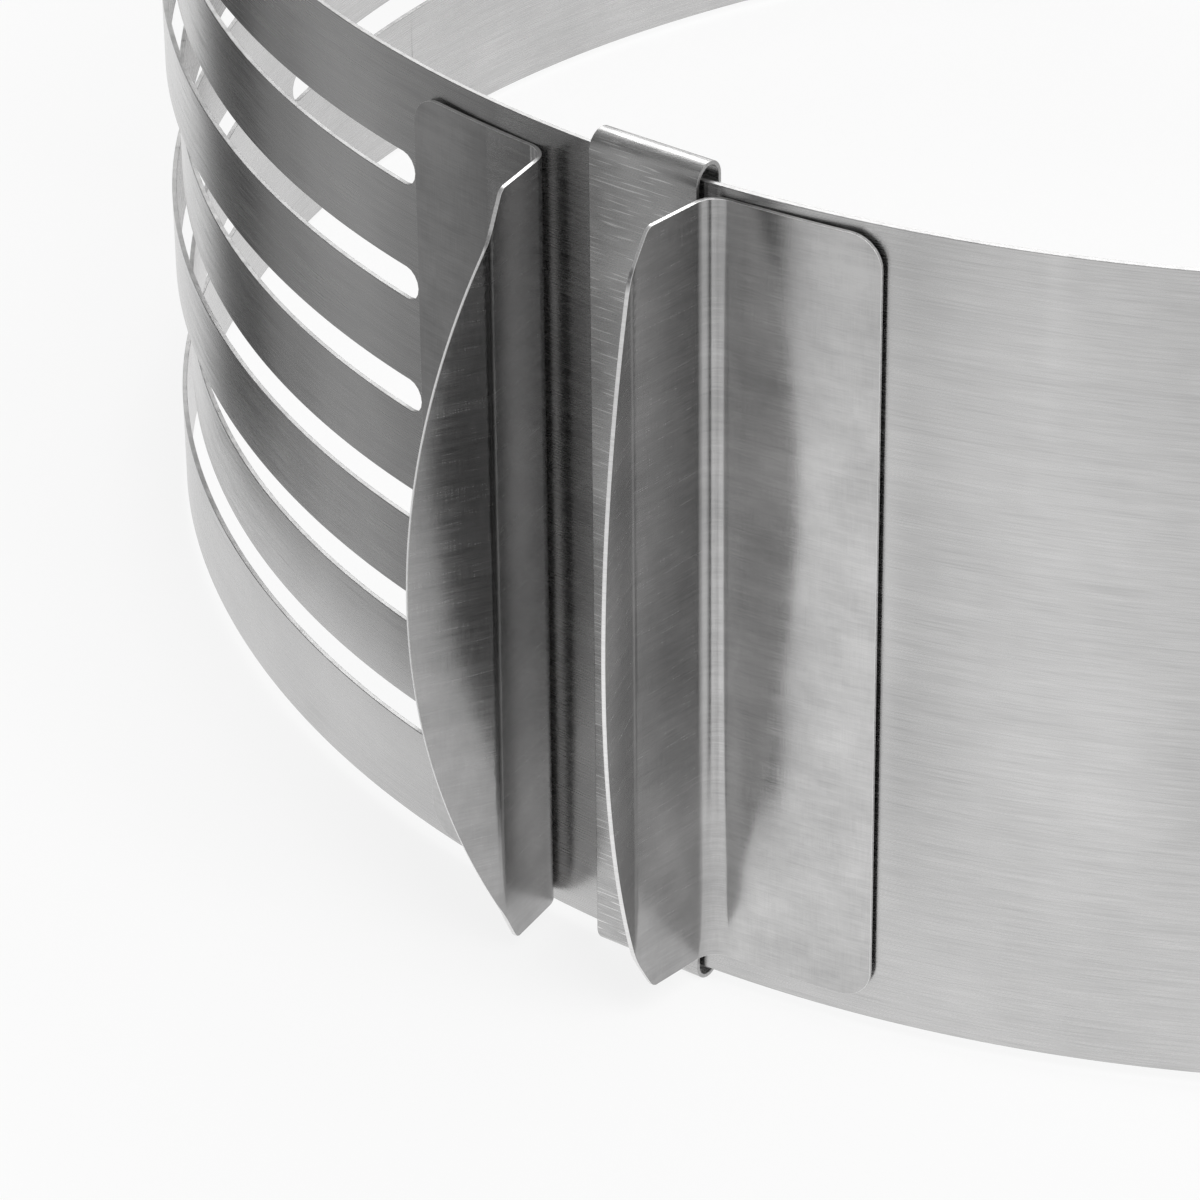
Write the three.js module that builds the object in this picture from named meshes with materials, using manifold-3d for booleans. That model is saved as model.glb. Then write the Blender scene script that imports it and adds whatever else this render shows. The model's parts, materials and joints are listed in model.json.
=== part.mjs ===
// Adjustable cake ring: one slotted spring strip rolled up until its ends lap, a folded guide clip
// that holds the lap, and two folded sheet grips that are squeezed or parted to set the diameter.
// Millimetres, +Z up, the lap and its grips facing -Y.

import * as THREE from 'three';
import { mergeVertices } from 'three/addons/utils/BufferGeometryUtils.js';
import Module from 'manifold-3d';

const wasm = await Module();
wasm.setup();

// Ring, at the setting that is modelled
const ringDiameter = 242.4;
const ringHeight = 85;
const stripThickness = 0.5;
const openingTravel = 57.6;
const leastLap = 28;
const lapGap = 0.6;
const tailDraw = 1.2;
const windRise = 0.6;

// Slots that guide the knife, in rows up the wall and in groups round it; every other group
// has one row less and stands half a pitch higher
const slotRows = 6;
const slotGroups = 4;
const slotHeight = 3.4;
const slotPitch = 12.25;
const slotFirstRow = 12;
const slotLength = 120;
const slotPost = 12;
const slotEndPost = 3.5;
const slotToClip = 30.5;

// Guide clip, folded over both edges of the lap
const clipWidth = 11.85;
const clipSheet = 0.4;
const clipDepth = 3.8;
const clipLeg = 5;
const clipFootroom = 0.75;
const clipHeadroom = 1.4;

// Grips, one folded sheet each
const gripHeight = 81.6;
const gripSheet = 0.4;
const plateWidth = 17.15;
const plateCorner = 3.2;
const webWidth = 10.6;
const wingReach = 19.4;
const wingArcRadius = 80;
const wingAngle = 78.5;
const creaseAngle = 27;
const bendRadius = 1.1;
const creaseRadius = 2;
const rightGripToClip = 1.1;
const leftGripToClip = 6.2;
const rightGripLift = 2.5;
const leftGripLift = 1;

// Division of the strip at its flex lines, and fits
const plainSegments = 3;
const halvesPerGroup = 2;
const tailSegments = 3;
const flexGap = 0.3;
const seatGap = 0.3;
const gripSegmentEnd = 28.5;
const outerEndInset = 0.4;

// Fineness of the facets
const facetAngle = THREE.MathUtils.degToRad(4);
const bendSteps = 6;
const slotEndSides = 16;
const wingArcSteps = 28;

const steel = { color: 0xb4b5b6, metalness: 1, roughness: 0.34 };
const steelClip = { color: 0xbcbdbe, metalness: 1, roughness: 0.3 };
const steelGrip = { color: 0xa9aaab, metalness: 1, roughness: 0.38 };

// Places along the strip, as arc lengths from the clip's middle on the outside of the ring
const ringRadius = ringDiameter / 2;
const fullTurn = Math.PI * ringDiameter;
const outerEnd = -clipWidth / 2 + outerEndInset;
const tailStart = fullTurn + gripSegmentEnd;
const tailEnd = fullTurn + Math.PI * openingTravel + leastLap;
const slotsEnd = fullTurn - slotToClip;
const gripSegmentStart = slotsEnd + slotEndPost;
const groupPitch = slotLength + slotPost;
const slotsStart = slotsEnd - slotGroups * groupPitch + slotPost;
const slottedStart = slotsStart - slotPost / 2;
const turnPitch = stripThickness + lapGap;

// Heights
const stripFoot = clipSheet + clipFootroom;
const clipHeight = stripFoot + windRise + ringHeight + clipHeadroom;

// Outside radius of the wound strip at a place: it winds in by one lap per turn,
// and the tail draws in a little more so that it clears the wall as it slides
function woundRadius(place) {
  const tailShare = Math.max(0, place - tailStart) / (tailEnd - tailStart);
  return ringRadius - turnPitch * Math.max(0, place) / fullTurn - tailDraw * tailShare ** 2;
}

function woundPoint(place, inset) {
  const angle = place / ringRadius;
  const radius = woundRadius(place) - inset;
  return new THREE.Vector2(radius * Math.sin(angle), -radius * Math.cos(angle));
}

// The strip sinks a little over its turn, so the inner end sits lower in the clip
function footAt(place) {
  const turnShare = THREE.MathUtils.clamp(place / fullTurn, 0, 1);
  return stripFoot + windRise * (1 - turnShare);
}

function toSolid(geometry) {
  const bare = geometry.clone();
  bare.deleteAttribute('normal');
  bare.deleteAttribute('uv');
  const merged = mergeVertices(bare, 1e-4);
  const mesh = new wasm.Mesh({
    numProp: 3,
    vertProperties: new Float32Array(merged.attributes.position.array),
    triVerts: new Uint32Array(merged.index.array),
  });
  return new wasm.Manifold(mesh);
}

function toGeometry(solid) {
  const mesh = solid.getMesh();
  const geometry = new THREE.BufferGeometry();
  geometry.setAttribute('position', new THREE.BufferAttribute(mesh.vertProperties, 3));
  geometry.setIndex(new THREE.BufferAttribute(mesh.triVerts, 1));
  geometry.computeVertexNormals();
  return geometry;
}

function extrude(outline, depth) {
  const options = { depth, bevelEnabled: false, steps: 1 };
  return new THREE.ExtrudeGeometry(new THREE.Shape(outline), options);
}

function makeMesh(name, geometry, finish) {
  const mesh = new THREE.Mesh(geometry, new THREE.MeshStandardMaterial(finish));
  mesh.name = name;
  return mesh;
}

// Wall of the wound strip between two places, from one inset to another below its outside
function wallOutline(start, end, outerInset, innerInset) {
  const steps = Math.max(1, Math.ceil((end - start) / ringRadius / facetAngle));
  const outside = [];
  const inside = [];
  for (let i = 0; i <= steps; i += 1) {
    const place = THREE.MathUtils.lerp(start, end, i / steps);
    outside.push(woundPoint(place, outerInset));
    inside.unshift(woundPoint(place, innerInset));
  }
  return [...outside, ...inside];
}

function stripSegment(start, end) {
  const outline = wallOutline(start + flexGap / 2, end - flexGap / 2, 0, stripThickness);
  return extrude(outline, ringHeight);
}

// One knife slot: a curved bar with a round end on each side, wide enough to pass the wall
function slotCutter(start, end, height) {
  const reach = 2 * stripThickness;
  const endRadius = slotHeight / 2;
  const section = wallOutline(start + endRadius, end - endRadius, -reach, stripThickness + reach);
  const bar = extrude(section, slotHeight);
  bar.translate(0, 0, height - endRadius);
  let cutter = toSolid(bar);
  for (const place of [start + endRadius, end - endRadius]) {
    const round = new THREE.CylinderGeometry(endRadius, endRadius, stripThickness + 2 * reach, slotEndSides);
    const centre = woundPoint(place, stripThickness / 2);
    round.rotateZ(place / ringRadius);
    round.translate(centre.x, centre.y, height);
    cutter = cutter.add(toSolid(round));
  }
  return cutter;
}

// Both faces of a sheet that is folded along a line: flat runs with a turn (degrees) between them
function foldedOutline(runs, turns, radii, sheet) {
  const line = [];
  const point = new THREE.Vector2();
  let heading = 0;
  const note = () => line.push({ point: point.clone(), heading });
  const walk = (length) => {
    point.x += length * Math.cos(heading);
    point.y += length * Math.sin(heading);
  };
  note();
  runs.forEach((run, i) => {
    if (run > 0) {
      walk(run);
      note();
    }
    if (i === turns.length) return;
    const stepTurn = THREE.MathUtils.degToRad(turns[i]) / bendSteps;
    const chord = 2 * radii[i] * Math.sin(Math.abs(stepTurn) / 2);
    for (let k = 0; k < bendSteps; k += 1) {
      heading += stepTurn / 2;
      walk(chord);
      heading += stepTurn / 2;
      note();
    }
  });
  const side = (offset) => line.map((stop) => new THREE.Vector2(
    stop.point.x - offset * Math.sin(stop.heading),
    stop.point.y + offset * Math.cos(stop.heading),
  ));
  return [...side(-sheet / 2), ...side(sheet / 2).reverse()];
}

// Length of sheet that a bend takes up beyond the corner of its two flats
function bendSetback(turn, radius) {
  return radius * Math.tan(THREE.MathUtils.degToRad(turn) / 2);
}

// Clip: front sheet with both edges rolled over the lap to short legs behind it
function buildClip() {
  const rollRadius = (clipDepth - clipSheet) / 2;
  const front = clipHeight - clipDepth;
  const outline = foldedOutline([clipLeg, front, clipLeg], [180, 180], [rollRadius, rollRadius], clipSheet);
  const clip = extrude(outline, clipWidth);
  const profile = new THREE.Matrix4().makeBasis(
    new THREE.Vector3(0, 0, -1),
    new THREE.Vector3(0, -1, 0),
    new THREE.Vector3(-1, 0, 0),
  );
  clip.applyMatrix4(profile);
  clip.computeBoundingBox();
  const box = clip.boundingBox;
  const frontFace = -(ringRadius + seatGap + clipSheet);
  clip.translate(-(box.min.x + box.max.x) / 2, frontFace - box.min.y, -box.min.z);
  return makeMesh('guide_clip', clip, steelClip);
}

// Distance of the wing's curved edge from its bend, at a height from the grip's middle
function wingEdge(height) {
  return wingReach - wingArcRadius + Math.sqrt(wingArcRadius ** 2 - height ** 2);
}

// A grip at the origin: plate from x = 0 towards +X, curved like the wall it lies on,
// and wing turned towards -Y at x = 0
function gripSolid() {
  const bendBack = bendSetback(wingAngle, bendRadius);
  const creaseBack = bendSetback(creaseAngle, creaseRadius);
  const plateTurn = (plateWidth - bendBack) / ringRadius;
  const plateReach = bendBack + ringRadius * Math.sin(plateTurn);
  const plateDepth = ringRadius * (1 - Math.cos(plateTurn));
  const runs = [0, 0, webWidth - bendBack - creaseBack, wingReach - webWidth - creaseBack];
  const turns = [-THREE.MathUtils.radToDeg(plateTurn), wingAngle, creaseAngle];
  const outline = foldedOutline(runs, turns, [ringRadius, bendRadius, creaseRadius], gripSheet);
  const folded = extrude(outline, gripHeight);
  folded.rotateZ(Math.PI + plateTurn);
  folded.translate(plateReach, plateDepth, 0);
  const wing = trimWing(toSolid(folded));
  return roundPlate(wing, plateReach);
}

// The wing's free edge follows one arc in the flat sheet: what lies beyond it is cut away
// along the web's normal, with the flange beyond the crease foreshortened by its turn
function trimWing(solid) {
  const half = gripHeight / 2;
  const foreshortening = Math.cos(THREE.MathUtils.degToRad(creaseAngle));
  const beyond = 2 * wingReach;
  const scrap = [new THREE.Vector2(beyond, -gripHeight)];
  for (let i = 0; i <= wingArcSteps; i += 1) {
    const height = THREE.MathUtils.lerp(-half, half, i / wingArcSteps);
    const flat = wingEdge(height);
    const seen = flat > webWidth ? webWidth + (flat - webWidth) * foreshortening : flat;
    if (i === 0) scrap.unshift(new THREE.Vector2(seen, -gripHeight));
    scrap.unshift(new THREE.Vector2(seen, height));
    if (i === wingArcSteps) scrap.unshift(new THREE.Vector2(seen, gripHeight));
  }
  scrap.unshift(new THREE.Vector2(beyond, gripHeight));
  const cutter = extrude(scrap, 2 * wingReach);
  cutter.translate(0, 0, -wingReach);
  const lean = THREE.MathUtils.degToRad(wingAngle);
  const along = new THREE.Vector3(-Math.cos(lean), -Math.sin(lean), 0);
  const up = new THREE.Vector3(0, 0, 1);
  const frame = new THREE.Matrix4().makeBasis(along, up, new THREE.Vector3().crossVectors(along, up));
  cutter.applyMatrix4(frame);
  cutter.translate(0, 0, half);
  return solid.subtract(toSolid(cutter));
}

// Round corners on the plate's free side
function roundPlate(solid, plateReach) {
  let rounded = solid;
  const depth = plateWidth;
  for (const [foot, up] of [[0, 1], [gripHeight, -1]]) {
    const corner = new THREE.Shape();
    const past = plateCorner / 2;
    corner.moveTo(plateReach + past, foot - up * past);
    corner.lineTo(plateReach + past, foot + up * plateCorner);
    corner.lineTo(plateReach, foot + up * plateCorner);
    const middle = foot + up * plateCorner;
    corner.absarc(plateReach - plateCorner, middle, plateCorner, 0, -up * Math.PI / 2, up > 0);
    corner.lineTo(plateReach - plateCorner, foot - up * past);
    const options = { depth, bevelEnabled: false, curveSegments: bendSteps };
    const cutter = new THREE.ExtrudeGeometry(corner, options);
    cutter.rotateX(Math.PI / 2);
    cutter.translate(0, depth / 2, 0);
    rounded = rounded.subtract(toSolid(cutter));
  }
  return rounded;
}

// Seats a grip's plate against the wall from its bend; the left one is the mirror image
function buildGrip(name, place, lift, mirrored) {
  const geometry = toGeometry(gripSolid());
  if (mirrored) {
    geometry.scale(-1, 1, 1);
    geometry.setIndex(Array.from(geometry.index.array).reverse());
    geometry.computeVertexNormals();
  }
  const grip = makeMesh(name, geometry, steelGrip);
  const seat = woundPoint(place, -(seatGap + gripSheet / 2));
  grip.position.set(seat.x, seat.y, footAt(place) + lift);
  grip.rotation.z = place / ringRadius;
  return grip;
}

const ring = new THREE.Group();

function addSegment(name, start, end, cutters = []) {
  let geometry = stripSegment(start, end);
  geometry.translate(0, 0, footAt((start + end) / 2));
  if (cutters.length > 0) {
    const cut = cutters.reduce((solid, cutter) => solid.subtract(cutter), toSolid(geometry));
    geometry = toGeometry(cut);
  }
  ring.add(makeMesh(name, geometry, steel));
}

// Plain outer wall, from the clip round to the slots
for (let i = 0; i < plainSegments; i += 1) {
  const length = (slottedStart - outerEnd) / plainSegments;
  const start = outerEnd + i * length;
  addSegment(`plain_wall_${i + 1}`, start, start + length);
}

// Slotted wall: each group of slots lies across one flex line
for (let group = 0; group < slotGroups; group += 1) {
  const firstSlot = slotsStart + group * groupPitch;
  const start = firstSlot - slotPost / 2;
  const end = group === slotGroups - 1 ? gripSegmentStart : start + groupPitch;
  const half = (end - start) / halvesPerGroup;
  const staggered = (slotGroups - group) % 2 === 0;
  const rows = staggered ? slotRows - 1 : slotRows;
  const firstRow = slotFirstRow + (staggered ? slotPitch / 2 : 0);
  for (let k = 0; k < halvesPerGroup; k += 1) {
    const foot = footAt(start + (k + 0.5) * half);
    const cutters = [];
    for (let row = 0; row < rows; row += 1) {
      const height = foot + firstRow + row * slotPitch;
      cutters.push(slotCutter(firstSlot, firstSlot + slotLength, height));
    }
    const name = `slotted_wall_${group * halvesPerGroup + k + 1}`;
    addSegment(name, start + k * half, start + (k + 1) * half, cutters);
  }
}

// Inner end: the stretch that carries the left grip and enters the clip, then the plain tail
addSegment('grip_wall', gripSegmentStart, tailStart);
for (let i = 0; i < tailSegments; i += 1) {
  const length = (tailEnd - tailStart) / tailSegments;
  addSegment(`tail_wall_${i + 1}`, tailStart + i * length, tailStart + (i + 1) * length);
}

ring.add(buildClip());
ring.add(buildGrip('right_grip', clipWidth / 2 + rightGripToClip, rightGripLift, false));
ring.add(buildGrip('left_grip', fullTurn - clipWidth / 2 - leftGripToClip, leftGripLift, true));

// Origin: middle of the part's outline, on the level of the clip's lower fold
const box = new THREE.Box3().setFromObject(ring);
ring.position.set(-(box.min.x + box.max.x) / 2, -(box.min.y + box.max.y) / 2, -box.min.z);
ring.updateMatrixWorld(true);

export default ring;
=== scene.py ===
import json
import math

import bpy
import numpy as np
from mathutils import Matrix, Vector

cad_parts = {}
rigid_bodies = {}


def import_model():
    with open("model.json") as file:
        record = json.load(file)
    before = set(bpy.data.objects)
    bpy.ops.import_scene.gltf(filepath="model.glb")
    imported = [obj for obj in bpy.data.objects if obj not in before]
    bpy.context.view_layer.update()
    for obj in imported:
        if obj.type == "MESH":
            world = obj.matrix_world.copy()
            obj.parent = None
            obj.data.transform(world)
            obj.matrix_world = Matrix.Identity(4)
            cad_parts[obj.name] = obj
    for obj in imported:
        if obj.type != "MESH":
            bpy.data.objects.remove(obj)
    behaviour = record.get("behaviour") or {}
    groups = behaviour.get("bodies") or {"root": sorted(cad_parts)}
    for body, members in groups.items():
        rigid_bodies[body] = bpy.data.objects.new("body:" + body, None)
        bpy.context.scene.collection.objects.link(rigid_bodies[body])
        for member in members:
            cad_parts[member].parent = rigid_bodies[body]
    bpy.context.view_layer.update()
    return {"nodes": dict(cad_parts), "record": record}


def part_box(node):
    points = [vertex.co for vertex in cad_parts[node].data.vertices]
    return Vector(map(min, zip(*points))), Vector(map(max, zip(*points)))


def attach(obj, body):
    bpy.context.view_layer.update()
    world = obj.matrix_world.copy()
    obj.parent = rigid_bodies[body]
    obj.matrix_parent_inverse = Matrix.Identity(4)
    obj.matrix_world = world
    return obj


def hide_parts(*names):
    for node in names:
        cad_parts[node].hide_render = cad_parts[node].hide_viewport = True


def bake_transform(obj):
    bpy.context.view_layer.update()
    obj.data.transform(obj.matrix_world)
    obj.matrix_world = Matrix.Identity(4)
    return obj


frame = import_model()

print("frame:", len(frame["nodes"]), "nodes")

mm = 0.001
scene = bpy.context.scene
scene.view_settings.view_transform = "Standard"

# The wound strip, in the same driving sizes as the CAD; places are arc lengths from the clip's middle
strip = {
    "radius": 121.2 * mm,
    "height": 85 * mm,
    "sheet": 0.5 * mm,
    "lapGap": 0.6 * mm,
    "tailDraw": 1.2 * mm,
    "windRise": 0.6 * mm,
    "seatGap": 0.3 * mm,
    "openingTravel": 57.6 * mm,
    "leastLap": 28 * mm,
    "endInset": 0.4 * mm,
    "rim": 0.07 * mm,
    "column": 1.5 * mm,
    "plainRows": 5,
    "gripBend": 8 * mm,  # reach taken beside the flex line at the left grip
}
clip = {
    "width": 11.85 * mm,
    "sheet": 0.4 * mm,
    "depth": 3.8 * mm,
    "leg": 5 * mm,
    "footroom": 0.75 * mm,
    "headroom": 1.4 * mm,
    "rim": 0.07 * mm,
    "columns": 9,
    "legSteps": 3,
    "rollSteps": 24,
    "frontSteps": 16,
}
radius = strip["radius"]
fullTurn = 2 * math.pi * radius
stripFoot = clip["sheet"] + clip["footroom"]
clipLow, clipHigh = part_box("guide_clip")
axisX = (clipLow.x + clipHigh.x) / 2
axisY = clipLow.y + radius + strip["seatGap"] + clip["sheet"]

# Bodies and flex lines in order along the strip, read from the frame
behaviour = frame["record"]["behaviour"]
bodyNodes = behaviour["bodies"]
neighbours = {}
for joint in behaviour["joints"]:
    for one, other in ((joint["parent"], joint["child"]), (joint["child"], joint["parent"])):
        neighbours.setdefault(one, []).append((other, joint["pos_m"]))
bodyOrder = [name for name, nodes in bodyNodes.items() if "plain_wall_1" in nodes]
flexPlaces = []
while True:
    ahead = [pair for pair in neighbours[bodyOrder[-1]] if pair[0] not in bodyOrder]
    if not ahead:
        break
    nextBody, at = ahead[0]
    place = math.atan2(at[0] - axisX, axisY - at[1]) * radius
    while flexPlaces and place < flexPlaces[-1]:
        place += fullTurn
    bodyOrder.append(nextBody)
    flexPlaces.append(place)
outerEnd = strip["endInset"] - clip["width"] / 2
tailStart = flexPlaces[bodyOrder.index("tail_1") - 1]
tailEnd = fullTurn + math.pi * strip["openingTravel"] + strip["leastLap"]
print("strip:", len(bodyOrder), "segments,", len(flexPlaces), "flex lines")


def woundRadius(place):
    tailShare = np.maximum(0, place - tailStart) / (tailEnd - tailStart)
    lapPitch = strip["sheet"] + strip["lapGap"]
    return radius - lapPitch * np.maximum(0, place) / fullTurn - strip["tailDraw"] * tailShare ** 2


def footAt(place):
    return stripFoot + strip["windRise"] * (1 - np.clip(place / fullTurn, 0, 1))


# Small limits for the sheet meshes, and the turns at which a rim is stepped
sheetMesh = {
    "seamReach": 1e-8,
    "sharpestCorner": 0.4,
    "nudge": 1e-6,
    "rimTurns": (math.pi / 4, math.pi / 2),
    "leastStep": 1e-7,
    "slack": 1e-9,
    "digits": 9,
}


# Gives a flat grid of quads its sheet thickness and rounded rims; shape maps the flat sheet to its middle
# surface and normals. Borders along a seam stay square, so that the next piece goes on without a line.
def thicken(name, flat, quads, shape, sheet, rim, seams=()):
    count = len(flat)
    edges = np.concatenate([quads[:, [k, (k + 1) % 4]] for k in range(4)])
    forward = edges[:, 0] * count + edges[:, 1]
    backward = edges[:, 1] * count + edges[:, 0]
    border = edges[~np.isin(backward, forward)]
    step = flat[border[:, 1]] - flat[border[:, 0]]
    away = np.stack([step[:, 1], -step[:, 0]], 1)
    away /= np.linalg.norm(away, axis=1)[:, None]
    onSeam = np.zeros(len(border), bool)
    for seam in seams:
        onSeam |= (np.abs(flat[border, 0] - seam) < sheetMesh["seamReach"]).all(1)
    push = np.zeros((count, 2))
    touched = np.zeros(count)
    for k in (0, 1):
        np.add.at(push, border[~onSeam, k], away[~onSeam])
        np.add.at(touched, border[~onSeam, k], 1)
    rimmed = np.nonzero(touched)[0]
    mean = push[rimmed] / touched[rimmed, None]
    size = np.maximum((mean ** 2).sum(1), sheetMesh["sharpestCorner"])
    push[rimmed] = mean / size[:, None]
    rank = np.zeros(count, int)
    rank[rimmed] = np.arange(len(rimmed))

    half = sheet / 2
    base = flat - rim * push
    point, normal = shape(base)
    points = [point + half * normal, point - half * normal]
    normals = [normal, -normal]
    flats = [base, base]
    nudge = sheetMesh["nudge"] * push[rimmed]
    ahead = shape(flat[rimmed] + nudge)[0] - shape(flat[rimmed] - nudge)[0]
    ahead /= np.linalg.norm(ahead, axis=1)[:, None]
    bends = sheetMesh["rimTurns"]
    for turn, side in [(t, 1) for t in bends] + [(t, -1) for t in reversed(bends)]:
        spot = flat[rimmed] - rim * (1 - math.sin(turn)) * push[rimmed]
        middle, up = shape(spot)
        points.append(middle + side * (half - rim * (1 - math.cos(turn))) * up)
        normals.append(side * math.cos(turn) * up + math.sin(turn) * ahead)
        flats.append(spot)
    points, normals, flats = (np.concatenate(part) for part in (points, normals, flats))
    normals /= np.linalg.norm(normals, axis=1)[:, None]

    def profile(index):
        if touched[index] == 0:
            return [index, count + index]
        ring = [2 * count + k * len(rimmed) + rank[index] for k in range(2 * len(bends))]
        return [index, *ring, count + index]

    faces = [tuple(q) for q in quads] + [tuple(q) for q in quads[:, ::-1] + count]
    sheetFaces = len(faces)
    for a, b in border[~onSeam]:
        one, two = profile(a), profile(b)
        faces += [(one[k], one[k + 1], two[k + 1], two[k]) for k in range(len(one) - 1)]
    rimFaces = len(faces)
    for a, b in border[onSeam]:
        faces.append(tuple(profile(a) + profile(b)[::-1]))

    mesh = bpy.data.meshes.new(name)
    mesh.from_pydata(points.tolist(), [], faces)
    mesh.polygons.foreach_set("use_smooth", np.ones(len(faces), bool))
    kinds = np.ones(len(faces), np.int32)
    kinds[:sheetFaces] = 0
    mesh.polygons.foreach_set("material_index", kinds)
    corner = np.zeros(len(mesh.loops), np.int32)
    mesh.loops.foreach_get("vertex_index", corner)
    layer = mesh.uv_layers.new(name="sheet")
    layer.uv.foreach_set("vector", flats[corner].astype(np.float32).ravel())
    shown = normals[corner]
    for face in list(mesh.polygons)[rimFaces:]:
        shown[face.loop_start:face.loop_start + face.loop_total] = face.normal
    mesh.normals_split_custom_set(shown.tolist())
    piece = bpy.data.objects.new(name, mesh)
    scene.collection.objects.link(piece)
    return piece


def gridQuads(columns, rows, keep=None):
    index = np.arange(columns * rows).reshape(columns, rows)
    quads = np.stack([index[:-1, :-1], index[1:, :-1], index[1:, 1:], index[:-1, 1:]], 2)
    return quads.reshape(-1, 4) if keep is None else quads[keep]


def subdivide(stops, step):
    stops = sorted(stops)
    line = [stops[0]]
    for a, b in zip(stops, stops[1:]):
        if b - a > sheetMesh["leastStep"]:
            parts = max(1, math.ceil((b - a) / step))
            line += [a + (b - a) * k / parts for k in range(1, parts + 1)]
    return np.array(line)


def mapRange(tree, value, fromSpan, toSpan):
    node = tree.nodes.new("ShaderNodeMapRange")
    node.inputs["From Min"].default_value, node.inputs["From Max"].default_value = fromSpan
    node.inputs["To Min"].default_value, node.inputs["To Max"].default_value = toSpan
    tree.links.new(value, node.inputs["Value"])
    return node.outputs["Result"]


# Brushed steel: streaks along the sheet's u direction, broader bands and smudges. A look may add a cross
# hatch, light scratches, or painted shade: a stretch of u coloured darker, and made duller.
brushing = {
    "turn": 0.25,
    "streakShare": 0.72,
    "broadShare": 0.28,
    "span": (0.3, 0.7),
    "depth": 0.01 * mm,
    "scratch": (5 * mm, 0.2 * mm),
    "scratchSpan": (0.6, 0.68),
    "streakDetail": (3, 0.6),  # the noise's detail and roughness
    "broadDetail": (2, 0.5),
    "smudgeDetail": (4, 0.6),
    "scratchDetail": (1, 0.5),
}


def steel(name, look):
    material = bpy.data.materials.new(name)
    material.use_nodes = True
    tree = material.node_tree
    nodes, links = tree.nodes, tree.links
    shader = nodes["Principled BSDF"]
    shader.inputs["Metallic"].default_value = 1
    shader.inputs["Anisotropic"].default_value = look["anisotropy"]
    shader.inputs["Anisotropic Rotation"].default_value = brushing["turn"]
    coordinates = nodes.new("ShaderNodeUVMap")
    coordinates.uv_map = "sheet"
    tangent = nodes.new("ShaderNodeTangent")
    tangent.direction_type = "UV_MAP"
    tangent.uv_map = "sheet"
    links.new(tangent.outputs["Tangent"], shader.inputs["Tangent"])

    def noise(length, width, detail, roughness):
        mapping = nodes.new("ShaderNodeMapping")
        mapping.inputs["Scale"].default_value = (1 / length, 1 / width, 1)
        texture = nodes.new("ShaderNodeTexNoise")
        texture.inputs["Scale"].default_value = 1
        texture.inputs["Detail"].default_value = detail
        texture.inputs["Roughness"].default_value = roughness
        links.new(coordinates.outputs["UV"], mapping.inputs["Vector"])
        links.new(mapping.outputs["Vector"], texture.inputs["Vector"])
        return texture.outputs["Fac"]

    def combine(kind, one, two):
        node = nodes.new("ShaderNodeMath")
        node.operation = kind
        for socket, value in zip(node.inputs, (one, two)):
            if isinstance(value, (int, float)):
                socket.default_value = value
            else:
                links.new(value, socket)
        return node.outputs["Value"]

    streak = noise(*look["streak"], *brushing["streakDetail"])
    broad = noise(*look["broad"], *brushing["broadDetail"])
    smudge = noise(look["smudge"], look["smudge"], *brushing["smudgeDetail"])
    grain = combine("MULTIPLY", streak, brushing["streakShare"] - look["hatch"])
    grain = combine("ADD", grain, combine("MULTIPLY", broad, brushing["broadShare"]))
    if look["hatch"]:
        crossed = noise(*reversed(look["streak"]), *brushing["streakDetail"])
        grain = combine("ADD", grain, combine("MULTIPLY", crossed, look["hatch"]))
    cloud = combine("MULTIPLY", combine("SUBTRACT", smudge, 0.5), look["cloud"])
    lightness = combine("ADD", mapRange(tree, grain, brushing["span"], (0, look["grainShare"])), cloud)
    if look["scratches"]:
        scratch = noise(*brushing["scratch"], *brushing["scratchDetail"])
        scratch = mapRange(tree, scratch, brushing["scratchSpan"], (0, look["scratches"]))
        lightness = combine("ADD", lightness, scratch)
    tone = nodes.new("ShaderNodeMix")
    tone.data_type = "RGBA"
    dark, light = look["colour"]
    tone.inputs["A"].default_value = (*dark, 1)
    tone.inputs["B"].default_value = (*light, 1)
    links.new(lightness, tone.inputs["Factor"])
    colour = tone.outputs["Result"]
    roughness = mapRange(tree, grain, brushing["span"], look["roughness"])
    # Painted shade: over a stretch of u the colour is scaled darker and the roughness is raised
    if look["paintedShade"]:
        start, end, share, dulled = look["paintedShade"]
        along = nodes.new("ShaderNodeSeparateXYZ")
        links.new(coordinates.outputs["UV"], along.inputs["Vector"])
        shadeScale = mapRange(tree, along.outputs["X"], (start, end), (1, share))
        darker = nodes.new("ShaderNodeVectorMath")
        darker.operation = "SCALE"
        links.new(colour, darker.inputs["Vector"])
        links.new(shadeScale, darker.inputs["Scale"])
        colour = darker.outputs["Vector"]
        dull = combine("MULTIPLY", combine("SUBTRACT", 1, shadeScale), dulled / (1 - share))
        roughness = combine("ADD", roughness, dull)
    links.new(colour, shader.inputs["Base Color"])
    links.new(roughness, shader.inputs["Roughness"])
    bump = nodes.new("ShaderNodeBump")
    bump.inputs["Strength"].default_value = look["bump"]
    bump.inputs["Distance"].default_value = brushing["depth"]
    links.new(grain, bump.inputs["Height"])
    links.new(bump.outputs["Normal"], shader.inputs["Normal"])
    return material


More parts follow.
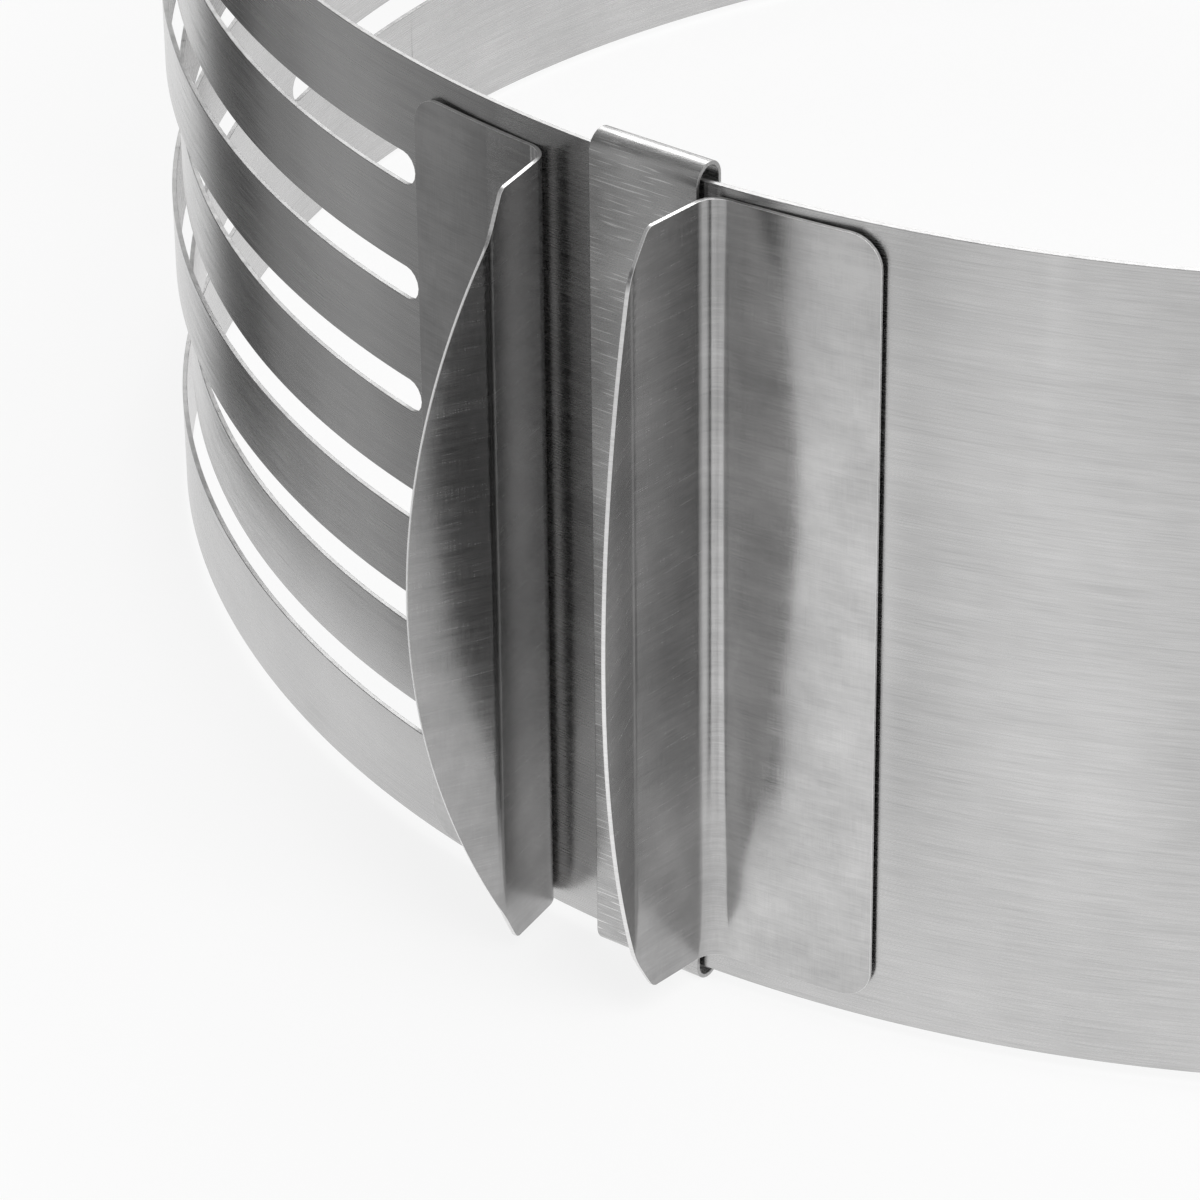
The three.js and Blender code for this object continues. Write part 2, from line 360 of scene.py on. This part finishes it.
plainFinish = {"hatch": 0, "grainShare": 1, "scratches": 0, "paintedShade": None}
stripSteel = steel("strip brushed steel", {
    **plainFinish,
    "colour": ((0.482, 0.48, 0.479), (0.644, 0.64, 0.638)),
    "roughness": (0.17, 0.34),
    "anisotropy": 0.85,
    "streak": (7 * mm, 0.15 * mm),
    "broad": (60 * mm, 0.9 * mm),
    "smudge": 20 * mm,
    "cloud": 1.2,
    "bump": 0.5,
})
gripSteel = steel("grip satin steel", {
    **plainFinish,
    "colour": ((0.442, 0.44, 0.439), (0.614, 0.61, 0.608)),
    "roughness": (0.12, 0.24),
    "anisotropy": 0.6,
    "streak": (3 * mm, 0.13 * mm),
    "broad": (20 * mm, 0.8 * mm),
    "smudge": 10 * mm,
    "cloud": 2.6,
    "hatch": 0.26,
    "bump": 0.35,
    # painted shade on the flange: a darker, duller stretch of u
    "paintedShade": (14 * mm, 19 * mm, 0.7, 0.06),  # from, to, share of the colour left, roughness added
})
clipSteel = steel("clip rubbed steel", {
    **plainFinish,
    "colour": ((0.402, 0.4, 0.399), (0.844, 0.84, 0.838)),
    "roughness": (0.20, 0.34),
    "anisotropy": 0.6,
    "streak": (4 * mm, 0.18 * mm),
    "broad": (12 * mm, 1.1 * mm),
    "smudge": 9 * mm,
    "cloud": 1,
    "grainShare": 0.4,
    "bump": 0.7,
    "scratches": 0.7,
})
shearedFinish = {
    **plainFinish,
    "roughness": (0.25, 0.40),
    "anisotropy": 0.2,
    "streak": (1.5 * mm, 0.2 * mm),
    "broad": (6 * mm, 0.5 * mm),
    "smudge": 10 * mm,
    "cloud": 0.5,
    "bump": 0.2,
}
edgeSteel = steel("sheared edge steel", {
    **shearedFinish,
    "colour": ((0.301, 0.3, 0.299), (0.502, 0.5, 0.498)),
})
# The grip's sheared edges are coloured pale: a painted highlight for the bright line along the grip rims
gripEdgeHighlightSteel = steel("grip edge steel with painted highlight", {
    **shearedFinish,
    "colour": ((0.703, 0.7, 0.698), (0.903, 0.9, 0.898)),
})
print("steels: 5")


def dress(piece, material, edge):
    piece.data.materials.append(material)
    piece.data.materials.append(edge)


# Slots in groups round the strip; the bands between them spring in and out by turns
slots = {
    "rows": 6,
    "groups": 4,
    "height": 3.4 * mm,
    "pitch": 12.25 * mm,
    "firstRow": 12 * mm,
    "length": 120 * mm,
    "post": 12 * mm,
    "toClip": 30.5 * mm,
    "endSteps": 8,
    "spring": 0.6 * mm,
    "springSkew": 1.6,  # over 1 moves the widest place towards the group's start
}
groupPitch = slots["length"] + slots["post"]
slotsStart = fullTurn - slots["toClip"] - slots["groups"] * groupPitch + slots["post"]
slotEnd = slots["height"] / 2
slotFade = slots["post"] / 2 + slotEnd


def springAt(place, height):
    group = np.floor((place - slotsStart) / groupPitch)
    share = 1 - (place - slotsStart - group * groupPitch) / slots["length"]
    inSlots = (group >= 0) & (group < slots["groups"]) & (share > 0)
    staggered = (slots["groups"] - group) % 2 == 0
    band = np.floor((height - slots["firstRow"]) / slots["pitch"] - 0.5 * staggered)
    swell = np.sin(math.pi * np.clip(share, 0, 1) ** slots["springSkew"]) ** 2
    return np.where(inSlots, slots["spring"] * swell * np.where(band % 2 == 0, -1, 1), 0)


def stripShape(flat):
    place, height = flat[:, 0], flat[:, 1]
    angle = place / radius
    middle = woundRadius(place) - strip["sheet"] / 2 + springAt(place, height)
    out = np.stack([np.sin(angle), -np.cos(angle), np.zeros(len(flat))], 1)
    point = out * middle[:, None] + np.array([axisX, axisY, 0])
    point[:, 2] = footAt(place) + height
    return point, out


def slotsBetween(start, end):
    found = []
    for group in range(slots["groups"]):
        first = slotsStart + group * groupPitch
        if first > end or first + slots["length"] < start:
            continue
        staggered = (slots["groups"] - group) % 2 == 0
        for row in range(slots["rows"] - staggered):
            height = slots["firstRow"] + (row + 0.5 * staggered) * slots["pitch"]
            found.append((first + slotEnd, first + slots["length"] - slotEnd, height))
    return found


def stripGrid(start, end):
    gaps = slotsBetween(start, end)
    digits, slack = sheetMesh["digits"], sheetMesh["slack"]
    arc = np.sin(np.linspace(-math.pi / 2, math.pi / 2, slots["endSteps"] + 1))
    if gaps:
        levels = {0.0, strip["height"]}
    else:
        levels = set(np.round(np.linspace(0, strip["height"], strip["plainRows"]), digits))
    stops = {start, end}
    for first, last, height in gaps:
        levels |= set(np.round(height + slotEnd * arc, digits))
        stops |= {s for s in (first, first - slotFade, last, last + slotFade) if start < s < end}
    rows = np.array(sorted(levels))
    columns = subdivide(stops, strip["column"])
    place, height = np.meshgrid(columns, rows, indexing="ij")
    moved = place.copy()
    cellPlace = (columns[:-1, None] + columns[1:, None]) / 2
    cellHeight = (rows[None, :-1] + rows[None, 1:]) / 2
    keep = np.ones((len(columns) - 1, len(rows) - 1), bool)
    for first, last, middle in gaps:
        bulge = np.sqrt(np.maximum(0, slotEnd ** 2 - (height - middle) ** 2))
        past = (place - last) / slotFade
        before = (first - place) / slotFade
        moved += bulge * np.where((past >= -slack) & (past <= 1), 1 - past, 0)
        moved -= bulge * np.where((before >= -slack) & (before <= 1), 1 - before, 0)
        keep &= ~((cellPlace > first) & (cellPlace < last) & (np.abs(cellHeight - middle) < slotEnd))
    quads = gridQuads(len(columns), len(rows), keep)
    used, packed = np.unique(quads, return_inverse=True)
    flat = np.stack([moved.ravel(), height.ravel()], 1)[used]
    return flat, packed.reshape(-1, 4)


def wallNode(body):
    return next(node for node in bodyNodes[body] if "wall" in node)


def onStrip(place):
    point = stripShape(np.array([[place, strip["height"] / 2]]))[0][0]
    return Vector(point)


# Strip: one piece across each flex line, from the middle of one segment to the middle of the next
edges = [outerEnd, *flexPlaces, tailEnd]
middles = [(a + b) / 2 for a, b in zip(edges, edges[1:])]
for i, flexPlace in enumerate(flexPlaces):
    before, after = bodyOrder[i], bodyOrder[i + 1]
    first, last = i == 0, i == len(flexPlaces) - 1
    start = outerEnd if first else middles[i]
    end = tailEnd if last else middles[i + 1]
    seams = [s for s, free in ((start, first), (end, last)) if not free]
    flat, quads = stripGrid(start, end)
    piece = thicken(f"strip_{i + 1}", flat, quads, stripShape, strip["sheet"], strip["rim"], seams)
    dress(piece, stripSteel, edgeSteel)
    reach = min(flexPlace - middles[i], middles[i + 1] - flexPlace)
    if after == "grip_end":
        reach = strip["gripBend"]
    onStrip(flexPlace - reach)
    onStrip(flexPlace + reach)
    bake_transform(piece)
    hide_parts(*([wallNode(before)] if first else []), wallNode(after))
print("strip pieces:", len(flexPlaces))


# Guide clip: front sheet with both edges rolled over the lap
clipHeight = stripFoot + strip["windRise"] + strip["height"] + clip["headroom"]
rollRadius = (clip["depth"] - clip["sheet"]) / 2
rollLength = math.pi * rollRadius
clipFront = clipHeight - clip["depth"]
clipRuns = np.cumsum([0, clip["leg"], rollLength, clipFront, rollLength, clip["leg"]])


def clipShape(flat):
    across, along = flat[:, 0], flat[:, 1]
    front = axisY - radius - strip["seatGap"] - clip["sheet"] / 2
    middle = front + rollRadius
    low, high = clip["depth"] / 2, clipHeight - clip["depth"] / 2
    turnLow = np.clip((along - clipRuns[1]) / rollRadius, 0, math.pi)
    turnHigh = np.clip((along - clipRuns[3]) / rollRadius, 0, math.pi)
    heading = -math.pi / 2 - turnLow - turnHigh
    y = middle + rollRadius * (np.cos(turnLow) + 1 - np.cos(turnHigh))
    z = low - rollRadius * np.sin(turnLow) + rollRadius * np.sin(turnHigh)
    z += np.maximum(0, clipRuns[1] - along) + np.clip(along - clipRuns[2], 0, clipFront)
    z -= np.maximum(0, along - clipRuns[4])
    point = np.stack([axisX + across, y, z], 1)
    normal = np.stack([np.zeros(len(flat)), -np.sin(heading), np.cos(heading)], 1)
    return point, normal


across = np.linspace(-clip["width"] / 2, clip["width"] / 2, clip["columns"])
runSteps = (clip["legSteps"], clip["rollSteps"], clip["frontSteps"], clip["rollSteps"], clip["legSteps"])
along = [clipRuns[0]]
for start, end, steps in zip(clipRuns, clipRuns[1:], runSteps):
    along += list(np.linspace(start, end, steps + 1)[1:])
flat = np.stack([part.ravel() for part in np.meshgrid(across, along, indexing="ij")], 1)
quads = gridQuads(len(across), len(along))
piece = thicken("guide_clip_sheet", flat, quads, clipShape, clip["sheet"], clip["rim"])
dress(piece, clipSteel, edgeSteel)
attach(piece, "outer_end")
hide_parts("guide_clip")
print("guide clip")

# Grips: plate on the wall, a bend, the web and a creased flange whose free edge follows one arc
grip = {
    "height": 81.6 * mm,
    "sheet": 0.4 * mm,
    "plate": 17.15 * mm,
    "plateCorner": 3.2 * mm,
    "web": 10.6 * mm,
    "reach": 19.4 * mm,
    "edgeArc": 80 * mm,
    "wingAngle": math.radians(78.5),
    "creaseAngle": math.radians(27),
    "bendRadius": 2.5 * mm,
    "creaseRadius": 2 * mm,
    "wingCorner": 0.5 * mm,
    "seatGap": 0.1 * mm,
    "rim": 0.04 * mm,
    "cornerRows": 10,
    "straightRows": 66,
    "plateColumns": 12,
    "bendColumns": 14,
    "wingColumns": 48,
}
bendBack = grip["bendRadius"] * math.tan(grip["wingAngle"] / 2)
creaseBack = grip["creaseRadius"] * math.tan(grip["creaseAngle"] / 2)
gripRuns = np.cumsum([
    0,
    grip["plate"] - bendBack,
    grip["bendRadius"] * grip["wingAngle"],
    grip["web"] - bendBack - creaseBack,
    grip["creaseRadius"] * grip["creaseAngle"],
    grip["reach"] - grip["web"] - creaseBack,
])


def foldedLine(along, creaseAngle, plateCurve):
    wrap = np.maximum(0, gripRuns[1] - along) / plateCurve
    bend = np.clip((along - gripRuns[1]) / grip["bendRadius"], 0, grip["wingAngle"])
    crease = np.clip((along - gripRuns[3]) / (gripRuns[4] - gripRuns[3]), 0, 1) * creaseAngle
    creaseRadius = (gripRuns[4] - gripRuns[3]) / creaseAngle
    lean = math.pi + grip["wingAngle"]
    heading = math.pi + wrap + bend + crease
    x = bendBack + plateCurve * np.sin(wrap)
    y = plateCurve * (1 - np.cos(wrap))
    x += grip["bendRadius"] * np.sin(math.pi + bend)
    y += grip["bendRadius"] * (-1 - np.cos(math.pi + bend))
    web = np.clip(along - gripRuns[2], 0, gripRuns[3] - gripRuns[2])
    x += web * math.cos(lean)
    y += web * math.sin(lean)
    x += creaseRadius * (np.sin(lean + crease) - math.sin(lean))
    y += creaseRadius * (math.cos(lean) - np.cos(lean + crease))
    flange = np.maximum(0, along - gripRuns[4])
    x += flange * math.cos(lean + creaseAngle)
    y += flange * math.sin(lean + creaseAngle)
    return x, y, heading


def alongAt(reach):
    stops = [bendBack, grip["web"] - creaseBack, grip["web"] + creaseBack, grip["reach"]]
    return np.interp(reach, stops, gripRuns[2:])


def cornerInset(height, corner):
    inside = np.clip(corner - np.minimum(height, grip["height"] - height), 0, corner)
    return corner - np.sqrt(corner ** 2 - inside ** 2)


def gripGrid():
    quarter = np.linspace(0, math.pi / 2, grip["cornerRows"])
    corner = grip["plateCorner"] * (1 - np.cos(quarter))
    straight = np.linspace(corner[-1], grip["height"] - corner[-1], grip["straightRows"])[1:-1]
    rows = np.concatenate([corner, straight, grip["height"] - corner[::-1]])
    arc = grip["edgeArc"]
    edge = grip["reach"] - arc + np.sqrt(arc ** 2 - (rows - grip["height"] / 2) ** 2)
    first = cornerInset(rows, grip["plateCorner"])
    last = alongAt(edge) - cornerInset(rows, grip["wingCorner"])
    bend = np.linspace(gripRuns[1], gripRuns[2], grip["bendColumns"] + 1)[:-1]
    plateShares = np.linspace(0, 1, grip["plateColumns"] + 1)[:-1]
    wingShares = np.linspace(0, 1, grip["wingColumns"] + 1)
    columns = [first + (gripRuns[1] - first) * share for share in plateShares]
    columns += [np.full(len(rows), at) for at in bend]
    columns += [gripRuns[2] + (last - gripRuns[2]) * share for share in wingShares]
    flat = np.stack([np.stack(columns), np.tile(rows, (len(columns), 1))], 2).reshape(-1, 2)
    return flat, gridQuads(len(columns), len(rows))


def addGrip(name, node, body, seat):
    side = seat["side"]
    fromClip = clip["width"] / 2 + seat["clipGap"]
    place = fromClip if side > 0 else fullTurn - fromClip
    foot = woundRadius(place) + grip["seatGap"] + grip["sheet"] / 2
    turn = place / radius
    x, y = axisX + foot * math.sin(turn), axisY - foot * math.cos(turn)
    origin = np.array([x, y, footAt(place) + seat["lift"]])
    right = np.array([math.cos(turn), math.sin(turn), 0])
    inward = np.array([-math.sin(turn), math.cos(turn), 0])

    def shape(flat):
        x, y, heading = foldedLine(flat[:, 0], grip["creaseAngle"] + seat["opened"], seat["plateCurve"])
        point = origin + side * x[:, None] * right + y[:, None] * inward
        point[:, 2] += flat[:, 1]
        normal = np.sin(heading)[:, None] * right - side * np.cos(heading)[:, None] * inward
        return point, normal

    flat, quads = gripGrid()
    piece = thicken(name, flat, quads, shape, grip["sheet"], grip["rim"])
    dress(piece, gripSteel, gripEdgeHighlightSteel)
    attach(piece, body)
    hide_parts(node)


rightSeat = {
    "clipGap": 1.1 * mm,
    "lift": 2.5 * mm,
    "opened": 0,
    "plateCurve": 150 * mm,
    "side": 1,
}
leftSeat = {
    "clipGap": 6.2 * mm,
    "lift": 1 * mm,
    "opened": math.radians(9.5),
    "plateCurve": 135 * mm,
    "side": -1,
}
addGrip("right_grip_sheet", "right_grip", "outer_end", rightSeat)
addGrip("left_grip_sheet", "left_grip", "grip_end", leftSeat)
print("grips")

# Camera, as fitted to the photo: turned about its upright axis, tilted, rolled
view = {
    "location": (0.28372, -0.50879, 0.34686),
    "turns": (36.08, 57.95, -0.63),
    "lens": 186.4,
    "near": 0.01,
    "far": 20,
}
camera = bpy.data.objects.new("camera", bpy.data.cameras.new("camera"))
camera.data.lens = view["lens"]
camera.data.clip_start = view["near"]
camera.data.clip_end = view["far"]
scene.collection.objects.link(camera)
upright, tilt, roll = (math.radians(angle) for angle in view["turns"])
rotation = Matrix.Rotation(upright, 4, "Z") @ Matrix.Rotation(tilt, 4, "X") @ Matrix.Rotation(roll, 4, "Z")
camera.matrix_world = Matrix.Translation(view["location"]) @ rotation
scene.camera = camera
print("camera")


# Stage: white floor and world to the camera and in the steel, less as fill; the floor keeps the shadow
studio = {
    "fill": 0.65,
    "ceiling": 0.4,
    "ceilingSpan": (0.62, 0.85),
    "floorHalf": 4,
    "floorWhite": 0.85,
    "shadow": 0.16,  # share of the floor that takes light and shade
    "cardFoot": 0.5 * mm,
    "cardTop": 260 * mm,
    "cardSteps": 60,
}


def rayStrength(tree, other):
    path = tree.nodes.new("ShaderNodeLightPath")
    level = other
    for name in ("Is Transmission Ray", "Is Glossy Ray", "Is Camera Ray"):
        mix = tree.nodes.new("ShaderNodeMix")
        tree.links.new(path.outputs[name], mix.inputs["Factor"])
        mix.inputs["B"].default_value = 1
        if isinstance(level, (int, float)):
            mix.inputs["A"].default_value = level
        else:
            tree.links.new(level, mix.inputs["A"])
        level = mix.outputs["Result"]
    return level


world = bpy.data.worlds.new("studio")
scene.world = world
world.use_nodes = True
worldTree = world.node_tree
background = worldTree.nodes["Background"]
direction = worldTree.nodes.new("ShaderNodeTexCoord")
upward = worldTree.nodes.new("ShaderNodeSeparateXYZ")
worldTree.links.new(direction.outputs["Generated"], upward.inputs["Vector"])
ceiling = mapRange(worldTree, upward.outputs["Z"], studio["ceilingSpan"], (1, studio["ceiling"]))
worldTree.links.new(ceiling, background.inputs["Color"])
worldTree.links.new(rayStrength(worldTree, studio["fill"]), background.inputs["Strength"])

floorMesh = bpy.data.meshes.new("floor")
half = studio["floorHalf"]
corners = [(-half, -half, 0), (half, -half, 0), (half, half, 0), (-half, half, 0)]
floorMesh.from_pydata(corners, [], [(0, 1, 2, 3)])
floorPiece = bpy.data.objects.new("floor", floorMesh)
scene.collection.objects.link(floorPiece)
floorMaterial = bpy.data.materials.new("white floor")
floorMaterial.use_nodes = True
floorTree = floorMaterial.node_tree
floorNodes, floorLinks = floorTree.nodes, floorTree.links
floorNodes.remove(floorNodes["Principled BSDF"])
diffuse = floorNodes.new("ShaderNodeBsdfDiffuse")
diffuse.inputs["Color"].default_value = (studio["floorWhite"],) * 3 + (1,)
glow = floorNodes.new("ShaderNodeEmission")
floorLinks.new(rayStrength(floorTree, 0), glow.inputs["Strength"])
mixed = floorNodes.new("ShaderNodeMixShader")
mixed.inputs["Fac"].default_value = 1 - studio["shadow"]
floorLinks.new(diffuse.outputs["BSDF"], mixed.inputs[1])
floorLinks.new(glow.outputs["Emission"], mixed.inputs[2])
floorLinks.new(mixed.outputs["Shader"], floorNodes["Material Output"].inputs["Surface"])
floorMesh.materials.append(floorMaterial)


# Studio cards, seen only in the steel: upright sheets along a line, toned from one end to the other.
# A fall-off says from what height to what height a card fades, and to what share.
evenHeight = (0, 1, 1)


def standing(name, spots, tones, fallOff=evenHeight):
    steps = len(spots) - 1
    top = studio["cardTop"]
    points = [(x, y, z) for x, y in spots for z in (studio["cardFoot"], top)]
    faces = [(2 * k, 2 * k + 1, 2 * k + 3, 2 * k + 2) for k in range(steps)]
    mesh = bpy.data.meshes.new(name)
    mesh.from_pydata(points, [], faces)
    layer = mesh.uv_layers.new(name="card")
    for loop, data in zip(mesh.loops, layer.data):
        data.uv = (loop.vertex_index // 2 / steps, loop.vertex_index % 2)
    material = bpy.data.materials.new(name)
    material.use_nodes = True
    tree = material.node_tree
    nodes, links = tree.nodes, tree.links
    nodes.remove(nodes["Principled BSDF"])
    uv = nodes.new("ShaderNodeUVMap")
    uv.uv_map = "card"
    parts = nodes.new("ShaderNodeSeparateXYZ")
    ramp = nodes.new("ShaderNodeValToRGB")
    elements = ramp.color_ramp.elements
    for at, tone in tones[1:-1]:
        elements.new(at)
    for element, (at, tone) in zip(elements, tones):
        element.color = (tone, tone, tone, 1)
    light = nodes.new("ShaderNodeEmission")
    links.new(uv.outputs["UV"], parts.inputs["Vector"])
    links.new(parts.outputs["X"], ramp.inputs["Fac"])
    links.new(ramp.outputs["Color"], light.inputs["Color"])
    low, high, share = fallOff
    fall = mapRange(tree, parts.outputs["Y"], (low / top, high / top), (1, share))
    links.new(fall, light.inputs["Strength"])
    links.new(light.outputs["Emission"], nodes["Material Output"].inputs["Surface"])
    mesh.materials.append(material)
    piece = bpy.data.objects.new(name, mesh)
    scene.collection.objects.link(piece)
    piece.visible_camera = False
    piece.visible_diffuse = False
    piece.visible_shadow = False
    piece.visible_transmission = False


# Curved cards round the ring; tones stand at azimuths in degrees, counted from the lap to the right
cards = {
    "left flag": {
        "distance": 138 * mm,
        "fallOff": evenHeight,
        "tones": (
            (-58, 1), (-54, 0.5), (-52.5, 0.1), (-47, 0.1), (-43, 0.09), (-41, 0.26), (-38, 0.34),
            (-36.5, 0.2), (-35, 0.38), (-28, 0.42), (-25, 0.32), (-16, 0.24)),
    },
    "front card": {
        "distance": 152 * mm,
        "fallOff": (34 * mm, 68 * mm, 0.72),
        "tones": (
            (-20, 0.24), (-11, 0.24), (-8, 0.74), (-5.5, 0.72), (-4.5, 0.05), (0.1, 0.05), (1.1, 0.94),
            (4, 1), (7.6, 1)),
    },
    "right card": {
        "distance": 152 * mm,
        "fallOff": (56 * mm, 70 * mm, 0.84),
        "tones": (
            (7.6, 0.74), (8.6, 0.76), (10.7, 0.87), (12.5, 0.92), (15.8, 1), (19, 1), (23.4, 0.94),
            (26, 0.88), (38, 0.88), (55, 0.95), (70, 1)),
    },
}
for name, card in cards.items():
    first, last = card["tones"][0][0], card["tones"][-1][0]
    spots = []
    for azimuth in np.linspace(first, last, studio["cardSteps"] + 1):
        turn = math.radians(azimuth)
        x, y = card["distance"] * math.sin(turn), card["distance"] * math.cos(turn)
        spots.append((axisX + x, axisY - y))
    shares = [((azimuth - first) / (last - first), tone) for azimuth, tone in card["tones"]]
    standing(name, spots, shares, card["fallOff"])

# V-flat beside the right grip, open by a hair: dark on the grip side past a pale strip, white outside
vFlat = {
    "azimuth": 17,
    "start": 136 * mm,
    "length": 20 * mm,
    "lean": 12,
    "opening": 0.01,
    "gripSide": ((0, 0.68), (0.24, 0.58), (0.4, 0.14), (1, 0.14)),
    "outerSide": ((0, 1), (1, 1)),
}
turn, lean = math.radians(vFlat["azimuth"]), math.radians(vFlat["lean"])
for side, tones in ((-1, vFlat["gripSide"]), (1, vFlat["outerSide"])):
    spots = []
    for reach in (0, vFlat["length"]):
        x = axisX + vFlat["start"] * math.sin(turn) + reach * (math.sin(lean) + side * vFlat["opening"])
        spots.append((x, axisY - vFlat["start"] * math.cos(turn) - reach * math.cos(lean)))
    standing("v-flat", spots, tones)

# Soft lamps, aimed at the middle of the ring
lampTarget = Vector((0, 0, 0.04))
lamps = {
    "key softbox": {"location": (0.9, -0.5, 1.3), "size": (0.9, 0.9), "power": 16},
    "back softbox": {"location": (-0.3, 1.0, 1.1), "size": (1.2, 0.6), "power": 8},
}
for name, lamp in lamps.items():
    data = bpy.data.lights.new(name, "AREA")
    data.shape = "RECTANGLE"
    data.size, data.size_y = lamp["size"]
    data.energy = lamp["power"]
    softbox = bpy.data.objects.new(name, data)
    softbox.location = lamp["location"]
    softbox.rotation_euler = (lampTarget - softbox.location).to_track_quat("-Z", "Y").to_euler()
    scene.collection.objects.link(softbox)
print("stage:", len(cards), "cards,", len(lamps), "lamps")
